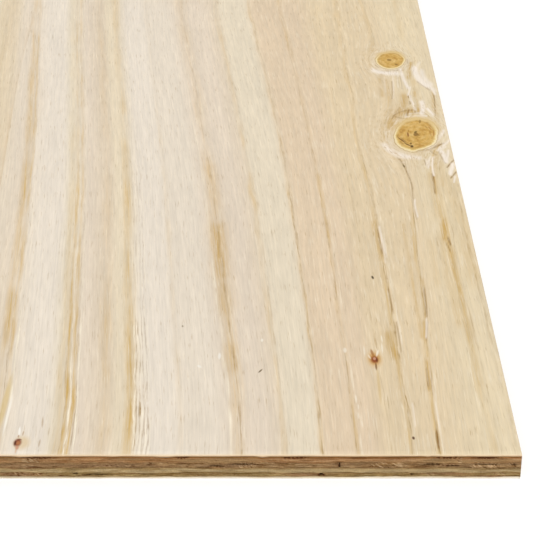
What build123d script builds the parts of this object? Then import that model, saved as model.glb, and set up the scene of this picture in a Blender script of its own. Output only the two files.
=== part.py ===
"""Softwood plywood sheet, 18 mm thick: six rotary-peeled pine veneers glued crosswise.

The face and back veneers are whole leaves with their grain along the sheet. The inner plies are laid up
from clipped strips of veneer, butted side by side, so each butt joint leaves a core gap that runs through
to the sawn edges. The two middle plies lie parallel to each other, between two crossbands, which keeps
the sheet balanced. The saw has opened knots and torn grain along the front end.

Millimetres. +X is to the right across the grain of the face, +Y away from the front end along the grain,
+Z up. The origin is the centre of the underside.
"""

import os

from build123d import *

# The sheet
sheet_width = 1220.0
sheet_length = 2440.0

# The six veneers, from the underside up
back_thickness = 1.6
crossband_lower_thickness = 2.9
core_lower_thickness = 3.5
core_upper_thickness = 4.0
crossband_upper_thickness = 4.6
face_thickness = 1.4

# Strips of the inner plies: peeled veneer is clipped to a stock width and laid up from one edge, where the
# first strip is what the saw left of one. Centre strips are counted from the right-hand side, and crossband
# strips from the front end.
strip_width = 686.0
crossband_upper_first_strip = 510.0
core_upper_first_strip = 115.0
core_lower_first_strip = 410.0
crossband_lower_first_strip = 905.0
crossband_gap = 2.0
centre_gap = 0.6

# Grain that the saw tore out of the upper crossband, just under the face veneer.
# Each is its distance from the right-hand side and its width.
torn_grain = ((22.5, 17.7), (46.2, 17.0), (144.3, 17.0), (215.0, 8.2), (305.4, 21.5))
torn_grain_height = 1.3
torn_grain_depth = 2.5

# Voids of the upper centre ply and the lower crossband, where the saw crossed knots and splits.
# Each is its distance from the right-hand side, its rise above the ply's middle, width, height and depth.
core_upper_voids = (
    (4.3, 0.1, 5.0, 1.8, 6.0),
    (21.8, 0.3, 18.0, 1.6, 5.0),
    (43.0, -0.6, 10.8, 1.2, 9.0),
    (56.0, 0.5, 12.0, 1.3, 14.0),
    (176.3, 0.6, 22.8, 1.3, 12.0),
    (193.5, -0.8, 10.8, 1.1, 8.0),
)
crossband_lower_voids = (
    (69.3, 0.0, 1.8, 1.6, 7.0),
    (126.9, -0.1, 2.8, 2.3, 14.0),
    (270.9, -0.3, 15.8, 1.1, 3.0),
    (283.2, 0.5, 3.0, 1.3, 6.0),
)

# Glue lines, as heights above the underside
back_glue_line = back_thickness
crossband_lower_glue_line = back_glue_line + crossband_lower_thickness
centre_glue_line = crossband_lower_glue_line + core_lower_thickness
crossband_upper_glue_line = centre_glue_line + core_upper_thickness
face_glue_line = crossband_upper_glue_line + crossband_upper_thickness

right_side = sheet_width / 2
front_end = -sheet_length / 2


def strip_spans(laid_length, first_strip, gap):
    """Start and end of each strip along a ply, counted from the edge that it was laid up from."""
    spans = []
    start, end = 0.0, first_strip
    while end < laid_length:
        spans.append((start, end))
        start = end + gap
        end = start + strip_width
    spans.append((start, laid_length))
    return spans


def lay_whole_leaf(bottom, thickness):
    """One veneer as large as the sheet."""
    with BuildSketch(Plane.XY.offset(bottom)) as leaf:
        Rectangle(sheet_width, sheet_length)
    extrude(leaf.sketch, amount=thickness)


def lay_centre_strips(bottom, thickness, first_strip):
    """Veneer strips with their grain along the sheet, laid side by side from the right-hand side."""
    for start, end in strip_spans(sheet_width, first_strip, centre_gap):
        with BuildSketch(Plane.XY.offset(bottom)) as strip:
            with Locations((right_side - start, 0)):
                Rectangle(end - start, sheet_length, align=(Align.MAX, Align.CENTER))
        extrude(strip.sketch, amount=thickness)


def lay_crossband_strips(bottom, thickness, first_strip):
    """Veneer strips with their grain across the sheet, laid one behind the other from the front end."""
    for start, end in strip_spans(sheet_length, first_strip, crossband_gap):
        with BuildSketch(Plane.XY.offset(bottom)) as strip:
            with Locations((0, front_end + start)):
                Rectangle(sheet_width, end - start, align=(Align.CENTER, Align.MIN))
        extrude(strip.sketch, amount=thickness)


def open_void(from_right, middle, width, height, depth):
    """Cuts a void into the front end: a mouth of two shallow arcs that meet at its tips, cut straight in."""
    centre = right_side - from_right
    left_tip, right_tip = (centre - width / 2, middle), (centre + width / 2, middle)
    with BuildSketch(Plane.XZ.offset(-front_end)) as mouth:
        with BuildLine():
            ThreePointArc(left_tip, (centre, middle + height / 2), right_tip)
            ThreePointArc(right_tip, (centre, middle - height / 2), left_tip)
        make_face()
    extrude(mouth.sketch, amount=-depth, mode=Mode.SUBTRACT)


# Back veneer, on the underside
with BuildPart() as back_veneer:
    lay_whole_leaf(0, back_thickness)

# Lower crossband
with BuildPart() as crossband_lower:
    lay_crossband_strips(back_glue_line, crossband_lower_thickness, crossband_lower_first_strip)
    crossband_lower_middle = back_glue_line + crossband_lower_thickness / 2
    for from_right, rise, width, height, depth in crossband_lower_voids:
        open_void(from_right, crossband_lower_middle + rise, width, height, depth)

# Lower centre ply
with BuildPart() as core_lower:
    lay_centre_strips(crossband_lower_glue_line, core_lower_thickness, core_lower_first_strip)

# Upper centre ply
with BuildPart() as core_upper:
    lay_centre_strips(centre_glue_line, core_upper_thickness, core_upper_first_strip)
    core_upper_middle = centre_glue_line + core_upper_thickness / 2
    for from_right, rise, width, height, depth in core_upper_voids:
        open_void(from_right, core_upper_middle + rise, width, height, depth)

# Upper crossband, torn out along its upper glue line
with BuildPart() as crossband_upper:
    lay_crossband_strips(
        crossband_upper_glue_line, crossband_upper_thickness, crossband_upper_first_strip
    )
    for from_right, width in torn_grain:
        open_void(from_right, face_glue_line, width, torn_grain_height, torn_grain_depth)

# Face veneer, on top
with BuildPart() as face_veneer:
    lay_whole_leaf(face_glue_line, face_thickness)

plies = {
    "back_veneer": back_veneer,
    "crossband_lower": crossband_lower,
    "core_lower": core_lower,
    "core_upper": core_upper,
    "crossband_upper": crossband_upper,
    "face_veneer": face_veneer,
}

os.makedirs("parts", exist_ok=True)
for label, ply in plies.items():
    ply.part.label = label
    export_step(ply.part, f"parts/{label}.step")
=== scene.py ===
"""Looks of the softwood plywood sheet: six pine veneers glued crosswise, with square sawn edges.

Lengths are in millimetres until a mesh is written, in metres. X runs across the grain of the face, Y along
it, away from the front end, and Z up through the plies. v is the distance from the front end along Y.
"""

import bpy
import numpy as np
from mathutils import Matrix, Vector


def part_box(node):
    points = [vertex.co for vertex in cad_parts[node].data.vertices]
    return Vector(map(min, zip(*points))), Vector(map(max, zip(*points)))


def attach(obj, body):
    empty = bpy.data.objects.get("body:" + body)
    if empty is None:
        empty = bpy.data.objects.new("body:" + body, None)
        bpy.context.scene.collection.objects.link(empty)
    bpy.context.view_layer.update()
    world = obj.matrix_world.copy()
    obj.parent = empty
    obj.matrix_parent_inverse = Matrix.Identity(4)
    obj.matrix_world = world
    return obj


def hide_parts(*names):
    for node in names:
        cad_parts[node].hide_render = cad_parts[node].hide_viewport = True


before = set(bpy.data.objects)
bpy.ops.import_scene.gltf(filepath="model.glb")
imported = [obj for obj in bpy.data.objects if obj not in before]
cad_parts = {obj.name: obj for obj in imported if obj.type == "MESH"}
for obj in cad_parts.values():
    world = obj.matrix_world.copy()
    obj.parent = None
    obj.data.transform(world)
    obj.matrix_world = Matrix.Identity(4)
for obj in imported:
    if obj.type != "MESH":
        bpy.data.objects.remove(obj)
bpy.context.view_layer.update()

# Back veneer. The whole leaf of peeled pine on the underside, glued on in one piece and left unsanded.
# The saw that squared the sheet went through all six plies, so its edge is sawn like theirs.
MM = 0.001
half_width, half_length, back_top = (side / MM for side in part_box("back_veneer")[1])
outline_length = 4 * (half_width + half_length)
glue_inset, tolerance = 25.0, 0.001


def stations(*spans, windows=()):
    """Places along a side. Each span is its start, its end and its step, and spans follow each other.

    Each window is a centre, a half width and a step, and adds finer places there.
    """
    places = [np.linspace(start, end, int(round((end - start) / step)) + 1) for start, end, step in spans]
    places += [np.arange(centre - half, centre + half, step) for centre, half, step in windows]
    places = np.unique(np.round(np.concatenate(places), 3))
    return places[(places >= spans[0][0]) & (places <= spans[-1][1])]


def walk_round(xs, ys):
    """The sheet's outline as a closed path through the places xs and ys, anticlockwise from the front left.

    Gives each point, its distance along the path, the direction into the sheet (the mitre at a corner) and
    its distance from the nearest corner.
    """
    front = np.stack([xs[:-1], np.full(len(xs) - 1, ys[0])], 1)
    right = np.stack([np.full(len(ys) - 1, xs[-1]), ys[:-1]], 1)
    back = np.stack([xs[:0:-1], np.full(len(xs) - 1, ys[-1])], 1)
    left = np.stack([np.full(len(ys) - 1, xs[0]), ys[:0:-1]], 1)
    path = np.concatenate([front, right, back, left])
    along = np.concatenate([[0], np.cumsum(np.linalg.norm(np.diff(path, axis=0), axis=1))])
    reach = np.abs(path) - [half_width, half_length]
    inward = -np.sign(path) * (reach > -tolerance)
    return path, along, inward, np.hypot(*reach.T)


def ripple(along, seed, shortest, longest, depth):
    """A wave round the outline: sines of whole turns, their lengths spread from shortest to longest.

    The long ones are the highest, and the root mean square of the whole is half of depth.
    """
    sines = 10
    draw = np.random.default_rng(seed)
    turns = np.round(outline_length / np.geomspace(shortest, longest, sines))
    phase = draw.uniform(0, 2 * np.pi, sines)
    weight = np.geomspace(0.4, 1.0, sines)
    waves = weight[:, None] * np.sin(2 * np.pi * turns[:, None] * along / outline_length + phase[:, None])
    return depth * waves.sum(0) / np.sqrt((weight ** 2).sum() / 2) / 2


def glue_line(ply_top, seed, shortest, longest, depth):
    """A glue line, as a function of the outline and the distance along it: the ply's top and a ripple."""
    return lambda path, along: ply_top + ripple(along, seed, shortest, longest, depth)


def sawn_edge(path, inward, corner, bottom, top, recess):
    """The edge of a ply as loops round the sheet. Row w stands at bottom + w (top - bottom).

    It is moved into the sheet by recess, which has a row for each loop and fades out at the corners.
    """
    fade = 3.0
    rows = np.linspace(0, 1, len(recess))[:, None]
    moved = path[None] + inward[None] * (recess * np.clip(corner / fade, 0, 1))[..., None]
    height = bottom + rows * (top - bottom)
    return np.concatenate([moved, height[..., None]], 2)


def saw_marks(rows, columns, seed, depth):
    """Roughness that the saw left: squares of random numbers, so that few are deep, each the sum of three
    neighbours along the edge. Their mean is two thirds of depth.
    """
    draw = np.random.default_rng(seed).random((rows, columns)) ** 2
    return depth * (np.roll(draw, 1, 1) + draw + np.roll(draw, -1, 1)) / 1.5


def inset_loop(path, height):
    """The outline drawn in by glue_inset on every side, flat, inside the glue line."""
    shrink = 1 - glue_inset / np.array([half_width, half_length])
    return np.concatenate([path * shrink, np.full((len(path), 1), height)], 1)[None]


def ply_shell(name, loops, bottom_grid=None, top_grid=None):
    """A closed shell: loops joined into bands from the lowest to the highest, and a cap at each end.

    A cap is one flat face, or the grid of points (x place, y place) whose rim is the end loop.
    """
    last, count = len(loops) - 1, loops.shape[1]
    here = np.arange(last)[:, None] * count + np.arange(count)
    ahead = np.arange(last)[:, None] * count + (np.arange(count) + 1) % count
    quads = [np.stack([here, ahead, ahead + count, here + count], -1).reshape(-1, 4)]
    points, caps, total = [loops.reshape(-1, 3)], [], loops.shape[0] * count
    for grid, first, flip in ((bottom_grid, 0, True), (top_grid, last * count, False)):
        rim = first + np.arange(count)
        if grid is None:
            caps.append(rim[::-1] if flip else rim)
            continue
        nx, ny = grid.shape[:2]
        inner = grid[1:-1, 1:-1]
        index = np.empty((nx, ny), int)
        index[1:-1, 1:-1] = total + np.arange((nx - 2) * (ny - 2)).reshape(nx - 2, ny - 2)
        index[:-1, 0], index[-1, :-1] = rim[:nx - 1], rim[nx - 1:nx + ny - 2]
        index[:0:-1, -1], index[0, :0:-1] = rim[nx + ny - 2:2 * nx + ny - 3], rim[2 * nx + ny - 3:]
        points.append(inner.reshape(-1, 3))
        total += (nx - 2) * (ny - 2)
        cells = np.stack([index[:-1, :-1], index[1:, :-1], index[1:, 1:], index[:-1, 1:]], -1)
        quads.append(cells.reshape(-1, 4)[:, ::-1] if flip else cells.reshape(-1, 4))
    quads, points = np.concatenate(quads), np.concatenate(points)
    sizes = np.array([4] * len(quads) + [len(cap) for cap in caps])
    mesh = bpy.data.meshes.new(name)
    mesh.vertices.add(len(points))
    mesh.vertices.foreach_set("co", (points * MM).ravel())
    mesh.loops.add(sizes.sum())
    mesh.loops.foreach_set("vertex_index", np.concatenate([quads.ravel(), *caps]))
    mesh.polygons.add(len(sizes))
    mesh.polygons.foreach_set("loop_start", np.cumsum(sizes) - sizes)
    mesh.update(calc_edges=True)
    piece = bpy.data.objects.new(name, mesh)
    bpy.context.scene.collection.objects.link(piece)
    return piece, points


def store(piece, name, values):
    """Keeps a vector for each point of the mesh, for its material to read."""
    layer = piece.data.attributes.new(name, "FLOAT_VECTOR", "POINT")
    layer.data.foreach_set("vector", np.ascontiguousarray(values, dtype=np.float32).ravel())


def store_edge(piece, points, recess, below=0, above=0):
    """Keeps for each point of a sawn edge how high in its ply it lies, how far into the sheet, and a 1 that
    marks the edge.

    below and above count the loops under and over the edge's own, which lie in the glue lines.
    """
    rows, columns = recess.shape
    height = np.concatenate([np.zeros(below), np.linspace(0, 1, rows), np.ones(above)])
    edge = np.zeros((len(points), 3))
    edge[:len(height) * columns, 0] = np.repeat(height, columns)
    edge[below * columns:(below + rows) * columns, 1] = recess.ravel()
    edge[:(below + rows - (above == 0)) * columns, 2] = 1
    store(piece, "edge", edge)


def slow_waves(x, v, seed):
    """How far the fibres wander sideways: six sines, 320 to 1100 mm long across the leaf and 700 to 2400 mm
    along it. Each swings by a 75th of its length across.
    """
    draw = np.random.default_rng(seed)
    waves = 0.0
    for wave_x, wave_v in zip(np.geomspace(320, 1100, 6), np.geomspace(700, 2400, 6)):
        turn = draw.choice([-1, 1]) * x / wave_x + v / wave_v
        waves = waves + wave_x / 75 * np.sin(2 * np.pi * turn + draw.uniform(0, 2 * np.pi))
    return waves


def seen_from(knot, x, v):
    """Each point's place in one knot's own radii: across, less its lean along the grain, and lengthwise.

    A knot is its x and v, its half width and half length, and its lean.
    """
    knot_x, knot_v, wide, long, lean = knot
    return (x - knot_x - lean * (v - knot_v)) / wide, (v - knot_v) / long


def part_round_knots(across, x, v, knots):
    """Fibres part round each knot as a stream does round a post.

    They move by the knot's half width times dx / r^2, which fades out as exp((1 - r) / fade), with r the
    distance in knot radii.
    """
    fade = 2.5
    for knot in knots:
        dx, dv = seen_from(knot, x, v)
        r = np.maximum(np.hypot(dx, dv), 1)
        across = across - dx * knot[2] / r ** 2 * np.exp((1 - r) / fade)
    return across


def nearest_knot(x, v, knots):
    """Each point's place in its nearest knot's radii, across and along, and its distance in them."""
    beyond_all = 9.0
    local = np.full(x.shape + (3,), beyond_all)
    for knot in knots:
        dx, dv = seen_from(knot, x, v)
        r = np.hypot(dx, dv)
        closer = r < local[..., 2]
        local[closer] = np.stack([dx, dv, r], -1)[closer]
    return local


def scatter_knots(count, seed, clear=(1e9, 0)):
    """Knots over a leaf: random places, kept apart, and out of its clear part to the front right.

    They are 12 to 34 mm wide and 1.3 to 1.9 times as long. clear is where the clear part starts in x and
    where it ends in v.
    """
    side_margin, end_margin, apart = 40, 60, 190
    draw = np.random.default_rng(seed)
    placed = []
    while len(placed) < count:
        x = draw.uniform(-half_width + side_margin, half_width - side_margin)
        v = draw.uniform(end_margin, 2 * half_length - end_margin)
        across = draw.uniform(6, 17)
        if x > clear[0] and v < clear[1]:
            continue
        if all(np.hypot(x - other[0], (v - other[1]) / 1.6) > apart for other in placed):
            placed.append((x, v, across, across * draw.uniform(1.3, 1.9), draw.uniform(-0.15, 0.15)))
    return placed


def paint(hex_colour):
    """An sRGB hex colour as linear red, green and blue, with alpha."""
    channels = [int(hex_colour[i:i + 2], 16) / 255 for i in (1, 3, 5)]
    return [c / 12.92 if c <= 0.04045 else ((c + 0.055) / 1.055) ** 2.4 for c in channels] + [1.0]


def add_node(tree, kind, inputs=None, output=0, stops=(), **settings):
    """Adds a shader node with its settings and links, and gives one of its outputs.

    An input is a value, a hex colour or another node's output. stops are a ramp's places and colours.
    """
    node = tree.nodes.new("ShaderNode" + kind)
    for setting, value in settings.items():
        setattr(node, setting, value)
    for socket, value in (inputs or {}).items():
        if isinstance(value, bpy.types.NodeSocket):
            tree.links.new(value, node.inputs[socket])
        else:
            node.inputs[socket].default_value = paint(value) if isinstance(value, str) else value
    for _ in stops[2:]:
        node.color_ramp.elements.new(0.5)
    for number, (place, colour) in enumerate(stops):
        node.color_ramp.elements[number].position = place
        node.color_ramp.elements[number].color = paint(colour) if isinstance(colour, str) else colour
    return node.outputs[output] if len(node.outputs) else None


def new_material(name):
    """An empty material and its node tree."""
    material = bpy.data.materials.new(name)
    material.use_nodes = True
    material.node_tree.nodes.clear()
    return material, material.node_tree


def wood_figure(tree, place, x_size, y_size, z_size, detail=2.0, roughness=0.5, spread=()):
    """Wood figure: soft patches of 0 to 1 whose lengths along X, Y and Z of place are in millimetres.

    spread is a start and an end, and what the figure becomes there: 0 and 1, or two numbers that follow.
    """
    scale = [1 / (MM * size) for size in (x_size, y_size, z_size)]
    scaled = add_node(tree, "Mapping", {"Vector": place, "Scale": scale})
    figure = add_node(tree, "TexNoise", {"Vector": scaled, "Scale": 1.0, "Detail": detail,
                                         "Roughness": roughness})
    return add_node(tree, "MapRange", {0: figure, **dict(enumerate(spread, 1))}) if spread else figure


def tinted(tree, colour, tint, pattern, start, end, most=1.0, where=None):
    """Wood whose colour turns to tint as pattern goes from start to end, there by the share most.

    where is a second pattern, which that share is multiplied by. Most tints are the wood's own; some are
    painted light and shade, as the comments where they are laid say.
    """
    share = add_node(tree, "MapRange", {0: pattern, 1: start, 2: end, 4: most})
    if where is not None:
        share = add_node(tree, "Math", {0: share, 1: where}, operation="MULTIPLY")
    return add_node(tree, "Mix", {0: share, 6: colour, 7: tint}, 2, data_type="RGBA")


def shaded(tree, colour, pattern, start, end, least, most):
    """Wood whose colour is multiplied by least to most as pattern goes from start to end."""
    shade = add_node(tree, "MapRange", {0: pattern, 1: start, 2: end, 3: least, 4: most})
    return add_node(tree, "Mix", {0: 1.0, 6: colour, 7: shade}, 2, data_type="RGBA", blend_type="MULTIPLY")


def peeled_figure(tree, grain):
    """Figure of peeled pine: wide bands of tint, and growth rings that the knife cut at a low angle.

    The rings are contours of one smooth height. Between two contours the wood darkens from early to late
    wood and stops at a thin brown line.
    """
    contours = 13.0
    bands = wood_figure(tree, grain, 60, 3600, 50)
    colour = add_node(tree, "ValToRGB", {0: bands}, stops=[
        (0.3, "#ddc7a3"), (0.41, "#e3d1b1"), (0.48, "#e9dcc8"), (0.54, "#e3d2b6"), (0.62, "#e6d9bd"),
        (0.72, "#dec9a6")])
    height = wood_figure(tree, grain, 170, 2400, 50, 1.0)
    ring = add_node(tree, "Math", {0: height, 1: contours}, operation="MULTIPLY")
    ring = add_node(tree, "Math", {0: ring}, operation="FRACT")
    late = add_node(tree, "ValToRGB", {0: ring}, stops=[
        (0.0, "#000000"), (0.45, "#1c1c1c"), (0.82, "#8c8c8c"), (0.94, "#d0d0d0"), (0.985, "#000000")])
    patchy = wood_figure(tree, grain, 45, 240, 50, spread=(0.35, 0.65, 0.1, 1.1))
    late = add_node(tree, "Math", {0: late, 1: patchy}, operation="MULTIPLY")
    return add_node(tree, "Mix", {0: late, 6: colour, 7: "#c9a76c"}, 2, data_type="RGBA")


def knot_wood(tree, colour, knot, place):
    """Lays knots on a leaf: golden end grain in rings, a dark heart, a brown edge and a resin rim."""
    along, radius = (add_node(tree, "SeparateXYZ", {0: knot}, number) for number in (1, 2))
    uneven = wood_figure(tree, place, 20, 30, 50, 5.0, 0.65, (0.3, 0.7, -0.1, 0.1))
    radius = add_node(tree, "Math", {0: radius, 1: uneven}, operation="ADD")
    branch = add_node(tree, "ValToRGB", {0: wood_figure(tree, place, 5, 8, 50, 4.0, 0.65)}, stops=[
        (0.34, "#bd8f45"), (0.46, "#cfa658"), (0.56, "#d8b168"), (0.7, "#e3c27e")])
    rings = add_node(tree, "TexWave", {"Vector": knot, "Scale": 1.3, "Distortion": 3.0, "Detail": 3.0,
                                       "Detail Scale": 1.6}, wave_type="RINGS", rings_direction="Z")
    branch = shaded(tree, branch, rings, 0.0, 1.0, 0.93, 1.03)
    rotten = wood_figure(tree, place, 6, 9, 50, 3.0, spread=(0.42, 0.62, 0.1, 0.75))
    branch = tinted(tree, branch, "#98703a", radius, 0.8, 0.99, where=rotten)
    branch = tinted(tree, branch, "#82602a", radius, 0.16, 0.09, 0.85)
    rim = add_node(tree, "ValToRGB", {0: add_node(tree, "MapRange", {0: radius, 1: 1.0, 2: 1.8})}, stops=[
        (0.0, "#dcb968"), (0.06, "#f3dfa6"), (0.13, "#f1dfb6"), (0.18, "#bd9d64"), (0.23, "#e2cfad"),
        (0.5, "#e9d9bf")])
    rim = tinted(tree, rim, "#dab977", along, 0.0, 0.7, 0.85)
    colour = tinted(tree, colour, rim, radius, 1.42, 1.12, 0.85)
    return tinted(tree, colour, branch, radius, 1.0, 0.91)


def bare_wood(tree, colour, relief, relief_height, roughness):
    """Unfinished wood: matte, with hardly any gloss, its relief raised to relief_height millimetres."""
    bump = add_node(tree, "Bump", {"Height": relief, "Strength": 0.6, "Distance": relief_height * MM})
    wood = add_node(tree, "BsdfPrincipled", {"Base Color": colour, "Roughness": roughness,
                                             "Specular IOR Level": 0.2, "Normal": bump})
    add_node(tree, "OutputMaterial", {"Surface": wood})


back_glue_line = glue_line(back_top, 11, 7, 120, 0.3)
xs = stations((-half_width, 200, 9), (200, half_width, 4))
ys = stations((-half_length, half_length, 9))
path, along, inward, corner = walk_round(xs, ys)
recess = saw_marks(3, len(path), 12, 0.2)
loops = np.concatenate([sawn_edge(path, inward, corner, 0.0, back_glue_line(path, along), recess),
                        inset_loop(path, back_top)])
underside = np.stack(np.meshgrid(xs, ys, [0.0], indexing="ij"), -1)[:, :, 0]
back_veneer, points = ply_shell("back_leaf", loops, bottom_grid=underside)
store_edge(back_veneer, points, recess, above=1)
x, v = points[:, 0], points[:, 1] + half_length
back_knots = scatter_knots(14, 21)
across = part_round_knots(x + slow_waves(x, v, 23), x, v, back_knots)
store(back_veneer, "grain", np.stack([across * MM, v * MM, points[:, 2] * MM], -1))
store(back_veneer, "knot", nearest_knot(x, v, back_knots))

# Rotary-cut pine, unsanded: the same cream wood and brown growth lines as the face, but duller, and furred
# by the peeling knife, with fine checks along the grain.
material, tree = new_material("rotary_cut_pine_unsanded")
place = add_node(tree, "TexCoord", output="Object")
grain, knot, edge = (add_node(tree, "Attribute", output="Vector", attribute_name=name)
                     for name in ("grain", "knot", "edge"))
fibre = wood_figure(tree, grain, 1.6, 60, 9, 4.0, 0.6)
colour = shaded(tree, peeled_figure(tree, grain), fibre, 0.3, 0.7, 0.86, 1.08)
colour = tinted(tree, colour, "#7c6240", wood_figure(tree, grain, 1.5, 45, 9, 3.0), 0.68, 0.78, 0.6)
colour = knot_wood(tree, colour, knot, place)

# The leaf's sawn edge: pale, and near white at its bottom as painted light against the floor's shade beside
# it, smeared brown towards its glue line, and browner towards the left
height, on_edge = (add_node(tree, "SeparateXYZ", {0: edge}, number) for number in (0, 2))
to_left = add_node(tree, "MapRange", {0: add_node(tree, "SeparateXYZ", {0: place}, 0), 1: 200 * MM,
                                      2: 600 * MM, 3: 0.2, 4: -0.3})
edge_smear_and_light = wood_figure(tree, place, 40, 40, 6, 4.0, spread=(0.3, 0.7, -0.2, 0.3))
for shift in (to_left, height):
    edge_smear_and_light = add_node(tree, "Math", {0: edge_smear_and_light, 1: shift}, operation="ADD")
# The near white stops at the bottom are painted light, the brown ones near the glue line the smear
edge_smear_and_light = add_node(tree, "ValToRGB", {0: edge_smear_and_light}, stops=[
    (0.0, "#fffaf0"), (0.3, "#f8ecd6"), (0.6, "#d9c6a4"), (0.85, "#a68c63"), (1.0, "#8f7650")])
colour = tinted(tree, colour, edge_smear_and_light, on_edge, 0.0, 1.0, 0.8)
bare_wood(tree, colour, fibre, 0.25, 0.9)
back_veneer.data.materials.append(material)
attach(back_veneer, "root")
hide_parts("back_veneer")

# Lower crossband. Strips of veneer laid across the sheet, butted with small gaps, so that the front end
# shows the side of their grain, olive brown and smeared by the saw, and the long sides show their ends.
crossband_lower_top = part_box("crossband_lower")[1][2] / MM
crossband_lower_glue_line = glue_line(crossband_lower_top, 21, 13, 160, 0.5)
crossband_lower_first_strip, strip_width, crossband_gap = 905.0, 686.0, 2.0
across_places = [(-half_width, 262.0, 4.0), (262.0, half_width, 0.8)]
along_places = [(-half_length, -half_length + 150, 1.5), (-half_length + 150, half_length, 4.0)]
# Each void is its distance from the right, its rise over the ply's middle, its width, height and depth
crossband_lower_voids = ((69.3, 0.0, 1.8, 1.6, 7.0), (126.9, -0.1, 2.8, 2.3, 14.0),
                         (270.9, -0.3, 15.8, 1.1, 3.0), (283.2, 0.5, 3.0, 1.3, 6.0))
any_height = 1000.0


def open_voids(recess, path, bottom, top, voids, tufted):
    """Hollows in the front end: each is half an ellipsoid, of its width, height and depth up to deepest.

    Slanting tufts of torn fibre fill it again by the share tufted. They stand spacing apart, but wander:
    0.5 + 0.5 sin(2 pi (x + slope z) / spacing + 2 sin(x / 3)).
    """
    deepest, spacing, slope = 4.0, 2.6, 0.9
    rows = np.linspace(0, 1, len(recess))[:, None]
    height = bottom + rows * (top - bottom)
    middle = (bottom.mean() + top.mean()) / 2
    on_front = path[:, 1] < -half_length + tolerance
    wander = 2 * np.sin(path[:, 0] / 3)
    tuft = 0.5 + 0.5 * np.sin(2 * np.pi * (path[:, 0] + slope * height) / spacing + wander)
    for from_right, rise, width, tall, depth in voids:
        ellipse = (((path[:, 0] - half_width + from_right) / (width / 2)) ** 2
                   + ((height - middle - rise) / (tall / 2)) ** 2)
        hollow = min(depth, deepest) * np.sqrt(np.clip(1 - ellipse, 0, None)) * (1 - tufted * tuft)
        recess = np.maximum(recess, on_front * hollow)
    return recess


def gap_middles(first, length, gap):
    """Middles of the gaps between strips, counted from the edge that the strips were laid up from."""
    return np.arange(first, length, strip_width + gap) + gap / 2


def gap_windows(middles, gap):
    """Windows that put a place on each side of both edges of every gap."""
    half, step = 0.06, 0.04
    return [(middle + side * gap / 2, half, step) for middle in middles for side in (-1, 1)]


def open_gaps(recess, places, middles, gap, depth=9.0):
    """Slots where strips stop short of each other, at the given places along a side."""
    inside = (np.abs(places[:, None] - np.asarray(middles)) < gap / 2).any(1)
    return np.where(inside, depth, recess)


def middle_ply(name, cross_laid, gaps, gap, glue_lines, caps, saw, voids=(), tufted=0.0):
    """A ply inside the sheet: an edge from one glue line to the next, closed by flat caps at two heights.

    Where the strips are cross-laid, their gaps open in the long sides of the sheet, and otherwise in its
    ends. saw is the number of rows of saw marks, their seed and their depth. open_voids takes voids and
    tufted.
    """
    rows, seed, depth = saw
    windows = gap_windows(gaps, gap)
    xs = stations(*across_places, windows=() if cross_laid else windows)
    ys = stations(*along_places, windows=windows if cross_laid else ())
    path, along, inward, corner = walk_round(xs, ys)
    bottom, top = (line(path, along) for line in glue_lines)
    recess = open_voids(saw_marks(rows, len(path), seed, depth), path, bottom, top, voids, tufted)
    recess = open_gaps(recess, path[:, 1 if cross_laid else 0], gaps, gap)
    loops = np.concatenate([inset_loop(path, caps[0]), sawn_edge(path, inward, corner, bottom, top, recess),
                            inset_loop(path, caps[1])])
    ply, points = ply_shell(name, loops)
    store_edge(ply, points, recess, below=1, above=1)
    return ply


def distance_from(tree, place, middle, size, turn=0.0):
    """Distance from a mark's middle in the mark's own half width, half length and half height, its size.

    It is |p|, with p the place counted from the middle, turned back by turn degrees and divided by size.
    With a half height of any_height, the height doesn't count.
    """
    seen = add_node(tree, "Mapping", {
        "Vector": place, "Location": [at * MM for at in middle], "Scale": [half * MM for half in size],
        "Rotation": (0.0, 0.0, np.radians(turn))}, vector_type="TEXTURE")
    return add_node(tree, "VectorMath", {0: seen}, 1, operation="LENGTH")


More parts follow.
